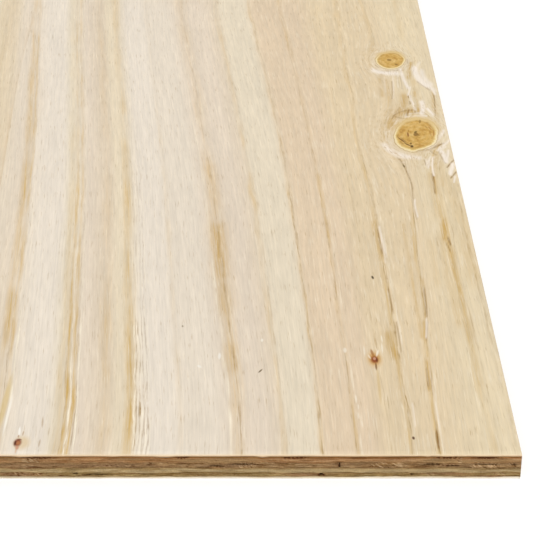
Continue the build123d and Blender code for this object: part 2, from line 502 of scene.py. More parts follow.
def sawn_pine(name, fleck, tones, zone_tint, slits, tufts, glue_shade, marks=(), torn_places=()):
    """Pine sawn square: dry, torn and matte, dark at its glue lines, with painted shade inside its voids.

    fleck is the length of one fleck of grain along X, Y and Z, the grain's own direction the longest.
    Zones of another tint, as sapwood and heartwood give, come and go along the edge. Dark slits lie along
    it, and pale tufts of torn fibre slant across it, with painted shade between them, most at torn_places:
    distance from the right, half width. marks are dark patches: distance from the right, height, half
    width, half height, share. Over voids and torn grain they are painted shade in those hollows, and
    elsewhere dark stains. Both belong to the front end, and reach in from it by torn_in and marked_in.
    """
    slant, torn_in, marked_in = 56, 40.0, 100.0
    material, tree = new_material(name)
    place = add_node(tree, "TexCoord", output="Object")
    edge = add_node(tree, "Attribute", output="Vector", attribute_name="edge")
    height, depth = (add_node(tree, "SeparateXYZ", {0: edge}, number) for number in (0, 1))
    grain = wood_figure(tree, place, *fleck, 5.0, 0.62)
    colour = add_node(tree, "ValToRGB", {0: grain}, stops=list(zip((0.36, 0.5, 0.64), tones)))
    colour = tinted(tree, colour, zone_tint, wood_figure(tree, place, 45, 45, 4), 0.42, 0.6, 0.8)
    cluster = wood_figure(tree, place, 26, 26, 3, spread=(0.52, 0.66, 0.0, tufts))
    for from_right, half in torn_places:
        distance = distance_from(tree, place, (half_width - from_right, -half_length, 0.0),
                                 (half, torn_in, any_height))
        torn = add_node(tree, "MapRange", {0: distance, 1: 1.2, 2: 0.8})
        cluster = add_node(tree, "Math", {0: cluster, 1: torn}, operation="MAXIMUM")
    slanted = add_node(tree, "Mapping", {"Vector": place, "Rotation": (0.0, np.radians(slant), 0.0)})
    standing = wood_figure(tree, slanted, 0.9, 3, 3.8, 3.0)
    colour = tinted(tree, colour, "#bf9f77", standing, 0.5, 0.62, where=cluster)
    # Dark slanting streaks among the tufts: painted shade of the hollows that the torn fibre leaves
    torn_out = wood_figure(tree, slanted, 1.1, 3, 3.6, 3.0)
    colour = tinted(tree, colour, "#65401d", torn_out, 0.44, 0.34, where=cluster)
    lying = wood_figure(tree, place, 10, 10, 0.9, 4.0, 0.65)
    colour = tinted(tree, colour, "#5a3715", lying, 0.57, 0.66, slits)
    colour = tinted(tree, colour, "#b89c6e", lying, 0.42, 0.32, 0.5)
    for size, tall, least, most in ((1.1, 0.9, 0.86, 1.13), (14, 2.2, 0.82, 1.16)):
        uneven = wood_figure(tree, place, size, size, tall, 3.0)
        colour = shaded(tree, colour, uneven, 0.32, 0.68, least, most)
    glue = add_node(tree, "ValToRGB", {0: height}, stops=[
        (0.0, glue_shade[0]), (0.2, "#ffffff"), (0.6, "#ffffff"), (0.9, glue_shade[1])])
    colour = add_node(tree, "Mix", {0: 1.0, 6: colour, 7: glue}, 2, data_type="RGBA", blend_type="MULTIPLY")
    patchy = wood_figure(tree, place, 1.5, 1.5, 1.1, spread=(0.4, 0.54, 0.1, 1.25))
    # Dark marks: painted shade over voids and torn grain, dark stains elsewhere
    for from_right, rise, wide, tall, share in marks:
        distance = distance_from(tree, place, (half_width - from_right, -half_length, rise),
                                 (wide, marked_in, tall))
        colour = tinted(tree, colour, "#562d0d", distance, 1.2, 0.5, share, patchy)
    # Painted shade inside the voids: the deeper into the sheet, the darker
    colour = tinted(tree, colour, "#46280d", depth, 0.7, 3.0, 0.9)
    bare_wood(tree, colour, grain, 0.3, 0.88)
    return material


gaps = gap_middles(crossband_lower_first_strip, 2 * half_length, crossband_gap) - half_length
crossband_lower = middle_ply("lower_crossband", True, gaps, crossband_gap,
                             (back_glue_line, crossband_lower_glue_line), (back_top, crossband_lower_top),
                             (10, 22, 0.3), crossband_lower_voids, 0.2)
# Olive brown side grain, smeared in long flecks, with small dark knots, and painted shade over its voids
crossband_lower.data.materials.append(sawn_pine(
    "sawn_pine_olive_side_grain", (12, 2.2, 0.8), ("#6d532a", "#927749", "#b29a68"), "#977350", 0.95, 0.4,
    ("#e6dbc8", "#f0e8da"),
    [(126.9, 2.8, 2.6, 1.3, 1.4), (69.3, 3.1, 1.2, 0.9, 0.85), (272.0, 2.8, 12.0, 0.7, 0.6),
     (326.0, 3.0, 4.0, 0.9, 0.8), (181.0, 3.0, 2.2, 0.5, 0.6), (319.0, 2.2, 2.2, 0.5, 0.8),
     (311.0, 3.0, 3.5, 0.5, 0.7), (304.0, 4.0, 3.0, 0.4, 0.8), (292.0, 2.2, 1.6, 0.5, 0.9),
     (283.0, 4.0, 2.0, 0.6, 0.8)],
    [(315.0, 9.0), (13.0, 4.0)]))
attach(crossband_lower, "root")
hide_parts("crossband_lower")

# Lower centre ply. Strips laid along the sheet, their joints tight, so that the front end shows their end
# grain: a clean light tan ply that took the saw well.
core_lower_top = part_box("core_lower")[1][2] / MM
centre_glue_line = glue_line(core_lower_top, 31, 10, 140, 0.45)
core_lower_first_strip, centre_gap = 410.0, 0.6
gaps = half_width - gap_middles(core_lower_first_strip, 2 * half_width, centre_gap)
core_lower = middle_ply("lower_core", False, gaps, centre_gap,
                        (crossband_lower_glue_line, centre_glue_line),
                        (crossband_lower_top, core_lower_top), (11, 32, 0.22))
# Light tan end grain, even and slightly greenish
core_lower.data.materials.append(sawn_pine(
    "sawn_pine_tan_end_grain", (9, 60, 0.8), ("#92774b", "#ac9368", "#c2ab82"), "#b39a70", 0.45, 0.2,
    ("#fbf7f0", "#ddd2c0")))
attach(core_lower, "root")
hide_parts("core_lower")

# Upper centre ply. The roughest one: end grain of darker wood that the saw tore out in slanting tufts,
# with open voids where it crossed splits and knots.
core_upper_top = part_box("core_upper")[1][2] / MM
crossband_upper_glue_line = glue_line(core_upper_top, 41, 9, 130, 0.45)
core_upper_first_strip = 115.0
core_upper_voids = ((4.3, 0.1, 5.0, 1.8, 6.0), (21.8, 0.3, 18.0, 1.6, 5.0), (43.0, -0.6, 10.8, 1.2, 9.0),
                    (56.0, 0.5, 12.0, 1.3, 14.0), (176.3, 0.6, 22.8, 1.3, 12.0),
                    (193.5, -0.8, 10.8, 1.1, 8.0))
gaps = half_width - gap_middles(core_upper_first_strip, 2 * half_width, centre_gap)
core_upper = middle_ply("upper_core", False, gaps, centre_gap,
                        (centre_glue_line, crossband_upper_glue_line), (core_lower_top, core_upper_top),
                        (13, 42, 0.45), core_upper_voids, 0.75)
# Brown end grain, rough and dark, with pale tufts standing up in it, and painted shade over its voids and
# between its tufts
core_upper.data.materials.append(sawn_pine(
    "sawn_pine_brown_end_grain", (8, 60, 0.8), ("#6b4827", "#96744a", "#b3926a"), "#90704e", 0.95, 0.7,
    ("#e8dfd0", "#f8f4ec"),
    [(115.3, 9.9, 1.3, 1.1, 0.85), (46.0, 10.0, 9.0, 0.5, 0.8), (309.0, 8.6, 5.0, 0.5, 0.9),
     (296.0, 9.2, 2.0, 0.4, 0.8), (262.0, 9.8, 5.0, 0.4, 0.7), (190.0, 9.4, 8.0, 0.6, 0.8),
     (170.0, 10.6, 9.0, 0.5, 0.7)],
    [(84.5, 10.5), (23.0, 9.5), (5.6, 2.5), (174.0, 6.0)]))
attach(core_upper, "root")
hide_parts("core_upper")

# Upper crossband. The thickest ply, of reddish-brown heartwood laid across the sheet. The saw drew its
# fibres along the front end and tore them out in places just under the face veneer.
crossband_upper_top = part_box("crossband_upper")[1][2] / MM
crossband_upper_first_strip = 510.0
# Torn grain is its distance from the right and its width, with painted shade of its hollow, a dark mark,
# round the height of the last number below. A dip is its distance from the right, its half width and its
# depth.
torn_grain = ((22.5, 17.7), (46.2, 17.0), (144.3, 17.0), (215.0, 8.2), (305.4, 21.5))
torn_grain_height, torn_grain_depth, torn_grain_shade_height = 1.3, 2.5, 15.9
face_dips = ((165.0, 4.0, 0.9), (226.0, 7.0, 0.8), (316.0, 5.0, 0.9), (60.0, 3.0, 0.4), (258.0, 3.0, 0.4))


def face_glue_line(path, along):
    """Height of the glue line under the face veneer, with the dips where the face runs thick."""
    on_front = path[:, 1] < -half_length + tolerance
    dips = sum(depth * np.clip(1 - np.abs(path[:, 0] - half_width + from_right) / width, 0, 1)
               for from_right, width, depth in face_dips)
    return crossband_upper_top + ripple(along, 51, 8, 120, 0.16) - dips * on_front


gaps = gap_middles(crossband_upper_first_strip, 2 * half_length, crossband_gap) - half_length
under_face = (crossband_upper_top - core_upper_top) / 2
torn = [(from_right, under_face, width, torn_grain_height, torn_grain_depth)
        for from_right, width in torn_grain]
crossband_upper = middle_ply("upper_crossband", True, gaps, crossband_gap,
                             (crossband_upper_glue_line, face_glue_line),
                             (core_upper_top, crossband_upper_top), (14, 52, 0.3), torn, 0.55)
# Reddish-brown side grain in long flecks, darkest just under the face, with painted shade in the hollows
# where its fibres are torn
crossband_upper.data.materials.append(sawn_pine(
    "sawn_pine_red_side_grain", (18, 3, 0.8), ("#80562c", "#a2774c", "#ba9167"), "#9c7d54", 0.5, 0.25,
    ("#fbf8f4", "#d8c0a2"),
    [(from_right, torn_grain_shade_height, width / 1.8, 1.1, 1.1) for from_right, width in torn_grain],
    [(311.0, 5.0), (39.0, 1.5)]))
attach(crossband_upper, "root")
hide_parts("crossband_upper")

# Face veneer. One leaf of clear pine, peeled off the turning log, glued down best side up and sanded.
# Its grain runs along the sheet and parts round the knots.
face_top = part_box("face_veneer")[1][2] / MM
knots = [(581.0, 512.8, 17.3, 33.2, 0.10), (569.5, 698.0, 12.9, 21.0, 0.05)]
pin_knots = [(523.0, 118.0, 2.7, 6.0, 0.0), (288.8, 14.5, 2.4, 5.0, 0.0)]
# The clear part lies to the right of the first place and in front of the second
clear_part = (140.0, 930.0)


def lie_of_grain(x, v, knots):
    """Where each point lies across the undisturbed leaf: the value that is the same all along one fibre.

    Each fibre leans to the left by its own shares of near, which is near_most (1 - exp(-d / near_most))
    with d = v^2 / (v + slow_start), and of far, a smooth step up to far_most. Between the listed fibres the
    shares run straight. On the right side near fades out again behind the knots. Outside the clear part the
    fibres wander in slow waves, and they part round the knots.
    """
    slow_start, near_most = 150, 400
    far_start, far_length, far_most = 300, 900, 560
    right_side, fade_start, fade_end = 520, 500, 1000
    side_start, side_length, end_start, end_length = 80, 250, 100, 400
    # A fibre's place across at the front end, and its shares of near and far
    leans = ((-620, 0.0, 0.0), (-100, 0.05, 0.05), (100, 0.10, 0.08), (430, 0.141, 0.08),
             (459, 0.112, 0.07), (483, 0.079, 0.06), (505, 0.062, 0.05), (541, 0.028, 0.035),
             (557, -0.05, 0.03), (575, 0.0, 0.022), (593, 0.015, 0.015), (620, 0.0, 0.008))
    near = near_most * (1 - np.exp(-(v ** 2 / (v + slow_start)) / near_most))
    ending = near * np.clip((fade_end - v) / (fade_end - fade_start), 0, 1)
    t = np.clip((v - far_start) / far_length, 0, 1)
    far = far_most * t ** 2 * (3 - 2 * t)
    at, near_share, far_share = zip(*leans)
    straight = x + far * np.interp(x, at, far_share)
    across = straight
    for left, right, left_lean, right_lean in zip(at[:-1], at[1:], near_share[:-1], near_share[1:]):
        start, end = (place - lean * (near if place < right_side else ending)
                      for place, lean in ((left, left_lean), (right, right_lean)))
        share = (straight - start) / (end - start)
        across = np.where((share >= 0) & (share <= 1), left + share * (right - left), across)
    beside, behind = clear_part[0] + side_start - x, v - clear_part[1] + end_start
    away = np.clip(np.maximum(beside / side_length, behind / end_length), 0, 1)
    across = across + slow_waves(x, v, 3) * away ** 2 * (3 - 2 * away)
    return part_round_knots(across, x, v, knots)


def marks_on(x, v, marks):
    """Soft marks: each is a bell round a curve bent from one place by a second to a third.

    Its strength is exp(-(d / width)^2), with d the distance to (1-t)^2 a + 2t(1-t) b + t^2 c. Along the
    grain a distance counts for less than half, as fibre draws every mark out.
    """
    drawn_out, reach_across, reach_along = 0.45, 3, 7
    t = np.linspace(0, 1, 48)[:, None]
    total = np.zeros(len(x))
    for ax, av, bx, bv, cx, cv, width, strength in marks:
        curve = (1 - t) ** 2 * [ax, av] + 2 * t * (1 - t) * [bx, bv] + t ** 2 * [cx, cv]
        aside, ahead = reach_across * width, reach_along * width
        close = ((x > curve[:, 0].min() - aside) & (x < curve[:, 0].max() + aside)
                 & (v > curve[:, 1].min() - ahead) & (v < curve[:, 1].max() + ahead))
        gap = np.hypot(x[close, None] - curve[:, 0], drawn_out * (v[close, None] - curve[:, 1])).min(1)
        total[close] = np.maximum(total[close], strength * np.exp(-(gap / width) ** 2))
    return total


# Marks in the clear part: the swirls round the knots, resin and raised grain. Some brown marks beside the
# white ones are painted shadows of the raised grain. Each is x and v at the start, the bend and the end of
# its curve, its width and its strength.
golden_marks = [
    (414, 245, 411.5, 290, 409, 325, 6.0, 0.65), (409, 325, 406, 370, 400, 440, 4.5, 0.3),
    (419, 196, 416, 232, 414, 262, 6.0, 0.38), (585.5, 305, 585.5, 260, 586.5, 205, 3.6, 0.3),
    (602, 412, 604.5, 350, 605, 240, 7.0, 0.27), (534, 152, 534.5, 141, 537, 124, 3.0, 0.75),
    (534, 332, 535, 300, 537, 272, 2.4, 0.5), (588, 305, 588.6, 315, 589.8, 331, 2.8, 0.9),
    (591.5, 288, 590, 240, 592.5, 150, 3.0, 0.42), (561.5, 171, 561, 160, 560, 148, 1.2, 0.7),
    (559, 116, 558.5, 100, 557.8, 80, 1.4, 0.8), (565, 236, 565, 205, 563.5, 175, 1.6, 0.6),
    (586, 250, 588, 215, 590, 180, 3.0, 0.3), (577, 300, 577, 260, 576, 230, 2.6, 0.2),
    (424, 132, 423, 122, 425, 108, 4.0, 0.35), (586, 200, 586.5, 185, 586.5, 170, 3.0, 0.35),
    (587, 425, 588, 400, 588, 345, 3.6, 0.45), (597, 458, 597, 435, 596, 405, 2.6, 0.35),
    (589, 690, 587, 675, 584, 650, 1.9, 0.75), (587, 613, 586.5, 608, 586, 603, 1.3, 0.5),
    (577, 602, 576, 577, 564, 552, 4.0, 0.7), (559, 530, 565, 572, 589, 567, 3.8, 0.75),
    (561, 470, 570, 467, 580, 471, 1.6, 0.4), (567, 486, 580, 476, 592, 480, 2.0, 0.5),
    (589, 440, 589, 415, 588, 388, 1.6, 0.75), (591, 340, 590, 320, 590, 300, 2.4, 0.5),
    (567, 540, 562, 530, 560, 512, 2.2, 0.4), (603, 545, 604, 560, 603, 590, 2.2, 0.4),
    (556, 646, 556, 625, 556, 605, 1.9, 0.5), (604, 616, 603.5, 590, 600, 562, 1.6, 0.5),
    (563, 640, 563, 620, 562, 590, 3.0, 0.2), (558, 150, 558, 200, 557, 330, 1.5, 0.4),
    (585, 473, 585, 466, 586, 458, 2.6, 0.22), (596, 472, 597, 458, 595, 440, 2.4, 0.3)]
white_marks = [
    (551, 671, 557, 661, 574, 662, 2.8, 0.95), (578, 672, 578, 650, 582, 624, 1.9, 0.95),
    (584, 626, 582, 613, 580.5, 606, 1.0, 0.8), (582.5, 604, 582, 594, 584, 584, 1.1, 0.95),
    (592, 676, 590, 648, 601, 630, 3.0, 1.2), (598, 668, 597, 650, 604, 633, 3.2, 0.75),
    (603, 630, 605, 618, 606, 609, 1.5, 0.9), (598, 692, 595, 682, 592, 672, 1.8, 0.5),
    (592, 588, 593, 574, 590, 562, 2.6, 1.0), (596, 572, 598, 566, 600, 558, 1.6, 0.9),
    (574, 552, 582, 556, 594, 554.5, 0.8, 1.0), (578, 560, 586, 563, 594, 562, 0.7, 0.6),
    (583, 590, 584, 580, 584.5, 570, 1.2, 0.7), (569.6, 657, 568.5, 640, 567.6, 616, 0.9, 0.6),
    (574, 656, 573, 642, 572.4, 626, 0.8, 0.5), (592, 674, 593, 650, 606, 618, 3.0, 0.8),
    (569, 645, 568.5, 620, 566, 598, 1.1, 0.4), (561, 652, 560, 632, 560, 614, 1.3, 0.35),
    (552, 488, 556, 467, 572, 463, 3.0, 0.85), (573, 463, 577, 461, 581, 461, 2.2, 0.6),
    (606, 520, 601, 500, 590, 483, 1.5, 1.1), (609, 498, 604, 488, 598, 478, 1.3, 0.8),
    (600.5, 474, 602.5, 466, 602.8, 454, 2.2, 1.1), (606.5, 476, 605.5, 466, 603.5, 457, 1.5, 0.8),
    (558, 478, 562, 466, 579, 461, 1.7, 0.7), (570, 376, 568.6, 366, 570, 344, 0.8, 0.9),
    (585.3, 457, 586, 448, 585.5, 440, 0.8, 0.7), (608, 447, 606, 438, 604, 428, 1.8, 1.1),
    (607.5, 422, 606.5, 417, 605.5, 411, 1.0, 0.9), (590, 463, 587, 455, 585, 445, 0.9, 0.7),
    (588.5, 458, 587.5, 447, 586.5, 440, 0.8, 0.8), (592.5, 462, 589, 450, 589.8, 425, 1.1, 0.9),
    (597, 456, 596, 452, 595, 446, 0.8, 0.4), (605, 485, 601, 479, 597, 477, 1.2, 0.6),
    (562, 520, 560, 500, 566, 487, 1.2, 0.35), (560, 120, 560, 60, 561, 4, 0.9, 0.35),
    (538, 326, 539, 300, 540.5, 276, 0.8, 0.8), (563.6, 176, 563, 165, 561, 148, 0.9, 0.7),
    (542.6, 200, 543, 170, 543.4, 140, 0.8, 0.35), (545, 62, 545.2, 50, 545, 34, 0.7, 0.6),
    (560.5, 60, 560.8, 48, 560.5, 34, 0.7, 0.6), (537.6, 325, 538, 300, 539.4, 262, 0.7, 0.6),
    (566.8, 226, 566.6, 205, 565.8, 184, 0.6, 0.3)]
# Brown marks: dark grain, and some painted shadows beside the raised white grain
brown_marks = [
    (562, 549, 568, 570, 584, 569, 0.8, 0.45), (563.5, 556, 568, 548, 576, 549, 0.8, 0.45),
    (578, 478, 589, 474, 601, 490, 0.7, 0.8), (589.7, 434, 589, 420, 587.8, 390, 0.7, 0.7),
    (605, 611, 604.5, 590, 602, 556, 0.7, 0.55), (563, 459, 567.5, 435, 569.5, 404, 0.6, 0.6),
    (569.5, 404, 568, 372, 570, 342, 0.6, 0.5), (575, 552, 576.5, 562, 579, 569, 0.9, 0.6),
    (584, 576, 584.5, 569, 584, 562, 0.8, 0.6), (580.5, 608, 580.5, 604, 580.5, 599, 0.6, 0.6),
    (581, 590, 581, 587, 581, 584, 0.6, 0.6), (563, 554, 566, 563, 571, 576, 0.9, 0.3),
    (592, 640, 597, 628, 602, 619, 0.9, 0.5), (586, 690, 586, 694, 586, 700, 1.0, 0.5),
    (559, 668, 567, 667, 576, 671, 0.8, 0.5), (554, 684, 555, 681, 557, 677, 0.9, 0.5),
    (576, 655, 577, 640, 576, 622, 0.8, 0.35), (567.5, 640, 567, 618, 565, 597, 0.8, 0.45),
    (579, 474, 586, 475, 593, 485, 0.8, 0.65), (593, 484, 598, 488, 604, 492, 1.0, 0.5),
    (598.5, 473, 599.3, 462, 602, 450, 0.8, 0.6), (560.5, 504, 561, 497, 562.5, 491, 0.9, 0.5),
    (590, 479, 592, 472, 595, 467, 0.9, 0.45), (588.5, 427, 588.5, 415, 588, 396, 0.8, 0.65),
    (584, 456, 584.5, 451, 584.5, 445, 0.7, 0.45), (561, 462, 569, 435, 570, 398, 0.7, 0.45),
    (570, 398, 566, 370, 569, 338, 0.7, 0.35), (609.5, 456, 606, 449, 602.5, 441, 0.7, 0.65),
    (609, 431, 606.5, 425, 603.5, 419, 0.7, 0.6), (588.2, 453, 587.6, 448, 587.2, 441, 0.6, 0.5),
    (536.2, 322, 536.6, 300, 537.4, 281, 0.8, 0.45), (538.8, 220, 539.3, 205, 540, 186, 0.7, 0.6),
    (541.6, 170, 542, 152, 542.2, 130, 0.7, 0.45), (591, 307, 591.4, 300, 591.8, 293, 0.7, 0.8),
    (588.5, 298, 589.6, 290, 591, 282, 0.7, 0.5), (581.5, 307, 581.8, 290, 582, 268, 0.8, 0.25),
    (565.4, 223, 565.2, 205, 564.2, 181, 0.9, 0.6), (558, 28, 558, 20, 558, 8, 0.8, 0.95),
    (558, 106, 557.9, 95, 557.5, 84, 0.7, 0.6), (563.6, 170, 562.4, 158, 561, 146, 0.8, 0.5)]
all_knots = knots + scatter_knots(12, 7, clear_part)
near_knots = (395.0 - half_length, 720.0 - half_length)
xs = stations((-half_width, 262, 12), (262, 530, 5), (530, half_width, 0.8))
ys = stations((-half_length, near_knots[0], 5), (*near_knots, 2.2), (near_knots[1], half_length, 12))
path, along, inward, corner = walk_round(xs, ys)
recess = saw_marks(4, len(path), 62, 0.12)
# The top row is the sanded face's own rim
recess[-1] = 0.0
loops = np.concatenate([
    inset_loop(path, crossband_upper_top),
    sawn_edge(path, inward, corner, face_glue_line(path, along), np.full(len(path), face_top), recess)])
sanded_face = np.stack(np.meshgrid(xs, ys, [face_top], indexing="ij"), -1)[:, :, 0]
face_veneer, points = ply_shell("face_leaf", loops, top_grid=sanded_face)
store_edge(face_veneer, points, recess, below=1)
x, v = points[:, 0], points[:, 1] + half_length
across = lie_of_grain(x, v, all_knots + pin_knots)
store(face_veneer, "grain", np.stack([across * MM, v * MM, points[:, 2] * MM], -1))
store(face_veneer, "knot", nearest_knot(x, v, all_knots))
store(face_veneer, "marks", np.stack([marks_on(x, v, kind)
                                      for kind in (golden_marks, brown_marks, white_marks)], -1))

# Rotary-cut pine, sanded: cream sapwood with soft golden streaks, hair-thin brown latewood lines and fine
# fibre, matte and faintly silky. Zones, streaks and lines hold their place along the fibre.
pale_cream, cream, straw, golden_straw = "#ebdfce", "#e8dbc8", "#e7d9c0", "#e7d7bb"
buff, shaded_buff, rose_tan, tan, light_tan = "#e5d5c0", "#e1d0b8", "#e2ccae", "#e2cdaa", "#e6d4b2"
# A zone is the place across where its tint is fullest, and a line its place across, half width and strength
zones = [
    (268, buff), (286, pale_cream), (304, pale_cream), (312, straw), (328, buff), (337, shaded_buff),
    (345, shaded_buff), (351, golden_straw), (358, golden_straw), (371, pale_cream), (386, pale_cream),
    (396, cream), (416, cream), (427, buff), (448, buff), (456, shaded_buff), (464, straw), (480, straw),
    (487, rose_tan), (515, rose_tan), (527, tan), (562, tan), (590, light_tan)]
golden_lines = [
    (272, 5.0, 1.0), (276.6, 2.6, 1.0), (313.5, 5.0, 0.4), (317.4, 2.4, 0.95), (321.7, 2.2, 0.95),
    (343.0, 6.0, 0.45), (360.3, 5.5, 0.9), (393, 3.0, 0.2), (431.3, 7.5, 0.42), (432, 2.0, 0.3),
    (459.5, 2.6, 0.5), (484, 1.8, 0.5), (506.5, 2.2, 0.55), (540, 2.4, 0.55), (557.5, 2.4, 0.6),
    (592.8, 4.0, 0.65)]
brown_lines = [
    (275.2, 0.6, 0.6), (316.2, 0.5, 0.4), (323.9, 0.6, 0.9), (364.7, 0.6, 0.8), (366.7, 0.5, 0.8),
    (369.1, 0.6, 0.8), (371.5, 0.6, 0.8), (432.5, 0.8, 0.5), (461, 0.6, 0.25), (484.3, 0.8, 0.6),
    (506, 0.7, 0.5), (527.5, 0.6, 0.35), (541.3, 0.7, 0.6), (558.3, 0.7, 0.7), (597, 0.7, 0.3),
    (607, 0.9, 0.35)]
white_lines = [
    (280.2, 1.0, 1.2), (319.6, 0.8, 1.0), (325.1, 0.9, 1.1), (363.6, 0.7, 1.1), (365.8, 0.5, 0.9),
    (367.9, 0.6, 0.9), (370.4, 0.6, 0.9), (372.8, 0.7, 0.8), (425.8, 1.2, 0.6), (434.8, 0.8, 0.35),
    (509, 0.9, 0.4), (538.2, 0.6, 0.4), (543.5, 0.7, 0.45), (560.6, 0.8, 0.5), (589.5, 0.6, 0.4)]
# Small marks: x, v, half width, half length, turn, tint, share. They are two pin knots and the resin and
# specks beside them, raised flecks, and the cracks in the large knots. The white specks just behind the
# first pin knot, at v 122 and 127, are painted highlights.
marks_of_leaf = [
    (291.8, 14.0, 5.4, 8.0, 0, "#dcc193", 0.65), (289.2, 14.2, 2.6, 4.7, 0, "#884426", 0.95),
    (289.7, 13.8, 1.3, 2.4, 0, "#b5774c", 0.85), (287.7, 13.8, 0.7, 3.0, 0, "#4c2412", 0.8),
    (289.8, 17.6, 1.7, 0.9, 0, "#6b3318", 0.7), (289.6, 8.4, 1.1, 2.4, 0, "#cd9276", 0.8),
    (289.3, 4.4, 0.6, 2.6, 0, "#d6ac86", 0.6), (288.8, 27.0, 0.8, 6.0, 4, "#fbf5ea", 0.85),
    (288.9, 21.6, 0.6, 1.8, 0, "#a87c50", 0.65), (291.4, 25.0, 0.5, 2.8, 0, "#b08a5a", 0.6),
    (302.4, 38.0, 0.6, 6.5, 4, "#b79c7a", 0.6), (303.2, 13.5, 0.6, 4.5, 0, "#b79c7a", 0.6),
    (523.0, 119.0, 5.4, 11.0, 0, "#d6b077", 0.8), (523.0, 119.0, 3.7, 7.4, 0, "#bd8640", 0.85),
    (523.0, 118.3, 2.5, 4.8, 0, "#8a451f", 0.95), (524.6, 117.5, 0.7, 3.0, 0, "#5a2a12", 0.7),
    (523.0, 119.5, 1.0, 2.0, 0, "#d2a081", 0.8), (521.8, 127.5, 1.0, 5.0, 8, "#a06a32", 0.75),
    (525.4, 127.0, 0.9, 4.6, -10, "#f5ead5", 0.75), (519.6, 122.0, 0.7, 3.2, 14, "#f3e7d0", 0.6),
    (523.6, 109.0, 0.7, 5.2, 0, "#7a5228", 0.85), (528.0, 239.5, 0.95, 2.7, 8, "#4d4129", 0.95),
    (542.7, 19.5, 0.9, 1.9, 4, "#5a3a26", 0.95), (444.0, 103.0, 0.7, 2.8, -28, "#6f5d3c", 0.9),
    (565.6, 443.6, 0.9, 3.2, 10, "#7d6a45", 0.95), (388.0, 165.0, 0.7, 1.6, 6, "#9a8a70", 0.8),
    (274.7, 62.0, 2.2, 34.0, 0, "#dac088", 0.7), (278.5, 48.0, 0.9, 24.0, 0, "#fbf3e4", 0.8),
    (529.6, 147.0, 0.6, 5.0, 2, "#f8efdc", 0.6), (529.1, 134.0, 0.6, 7.0, 0, "#f8efdc", 0.6),
    (516.4, 130.0, 0.6, 7.0, 0, "#f8efdc", 0.5), (507.9, 67.0, 0.7, 5.0, 0, "#f6ebd7", 0.5),
    (509.0, 57.0, 0.5, 3.4, 0, "#f6ebd7", 0.5), (508.6, 46.0, 0.6, 4.2, 2, "#f6ebd7", 0.45),
    (510.6, 36.0, 0.5, 4.0, 2, "#f6ebd7", 0.4), (524.2, 83.0, 1.1, 24.0, 0, "#cfae6c", 0.4),
    (415.5, 123.0, 1.1, 4.5, 0, "#f6f1e6", 0.6), (402.0, 109.0, 1.2, 2.2, 30, "#f6f1e6", 0.55),
    (445.0, 145.0, 0.9, 2.4, 0, "#f6efdf", 0.7), (503.0, 131.0, 1.3, 3.6, 0, "#f4ebdb", 0.6),
    (581.0, 517.5, 1.3, 2.8, -20, "#6f5720", 0.9), (583.2, 511.0, 0.9, 2.0, 10, "#8d6b2b", 0.7),
    (573.9, 512.0, 0.9, 5.4, 0, "#8c5a26", 0.9), (575.0, 520.0, 0.6, 3.4, -4, "#a5762f", 0.7),
    (575.5, 485.8, 1.5, 2.8, 0, "#4d3610", 0.95), (575.0, 492.0, 1.0, 2.4, -10, "#6e4e1c", 0.85),
    (567.4, 499.5, 0.9, 7.5, 25, "#75501e", 0.9), (572.0, 489.5, 1.0, 4.5, 38, "#664618", 0.9),
    (594.6, 526.0, 0.9, 4.6, 15, "#b17a34", 0.7), (597.0, 514.0, 0.8, 6.5, -4, "#b07a36", 0.7),
    (586.8, 542.0, 1.0, 4.2, -6, "#8f6f33", 0.75), (591.5, 529.0, 0.9, 2.4, 20, "#a37a30", 0.6),
    (569.0, 500.0, 0.9, 7.0, 22, "#94703a", 0.6), (594.0, 515.0, 0.7, 8.0, 4, "#b0803a", 0.5),
    (568.0, 698.5, 1.8, 2.8, 0, "#8d6a2d", 0.9), (574.5, 686.0, 1.5, 2.4, 20, "#84632a", 0.8)]


def line_ramp(tree, across, start, end):
    """Golden, brown and white lines between two places across the leaf, as a ramp's red, green and blue.

    Each line is a peak, its strength times 1 - |distance| / half width.
    """
    kinds = [[line for line in lines if start < line[0] < end]
             for lines in (golden_lines, brown_lines, white_lines)]
    breaks = sorted({round(at + side * half, 2) for lines in kinds for at, half, strength in lines
                     for side in (-1, 0, 1)} | {start, end})
    peaks = [[max([strength * max(0, 1 - abs(place - at) / half) for at, half, strength in lines],
                  default=0) for lines in kinds] + [1] for place in breaks]
    share = add_node(tree, "MapRange", {0: across, 1: start * MM, 2: end * MM})
    return add_node(tree, "ValToRGB", {0: share}, stops=[
        ((place - start) / (end - start), peak) for place, peak in zip(breaks, peaks)])


material, tree = new_material("rotary_cut_pine_sanded")
place = add_node(tree, "TexCoord", output="Object")
grain, marks, knot, edge = (add_node(tree, "Attribute", output="Vector", attribute_name=name)
                            for name in ("grain", "marks", "knot", "edge"))
across, along_grain = (add_node(tree, "SeparateXYZ", {0: grain}, number) for number in (0, 1))
waver = wood_figure(tree, grain, 9, 75, 9, 4.0, spread=(0.0, 1.0, -2.2 * MM, 2.2 * MM))
ragged = wood_figure(tree, grain, 1.5, 34, 9, 3.0, 0.6, (0.0, 1.0, -2.0 * MM, 2.0 * MM))
waver = add_node(tree, "Math", {0: waver, 1: ragged}, operation="ADD")
across = add_node(tree, "Math", {0: across, 1: waver}, operation="ADD")
first, last = zones[0][0], zones[-1][0]
zone = add_node(tree, "MapRange", {0: across, 1: first * MM, 2: last * MM})
colour = add_node(tree, "ValToRGB", {0: zone}, stops=[
    ((at - first) / (last - first), tone) for at, tone in zones])

# Outside the clear part the leaf has the plain figure of peeled pine
far_side = add_node(tree, "MapRange", {0: across, 1: 290 * MM, 2: 230 * MM})
far_end = add_node(tree, "MapRange", {0: along_grain, 1: 850 * MM, 2: 1200 * MM})
far = add_node(tree, "Math", {0: far_side, 1: far_end}, operation="MAXIMUM")
colour = add_node(tree, "Mix", {0: far, 6: colour, 7: peeled_figure(tree, grain)}, 2, data_type="RGBA")

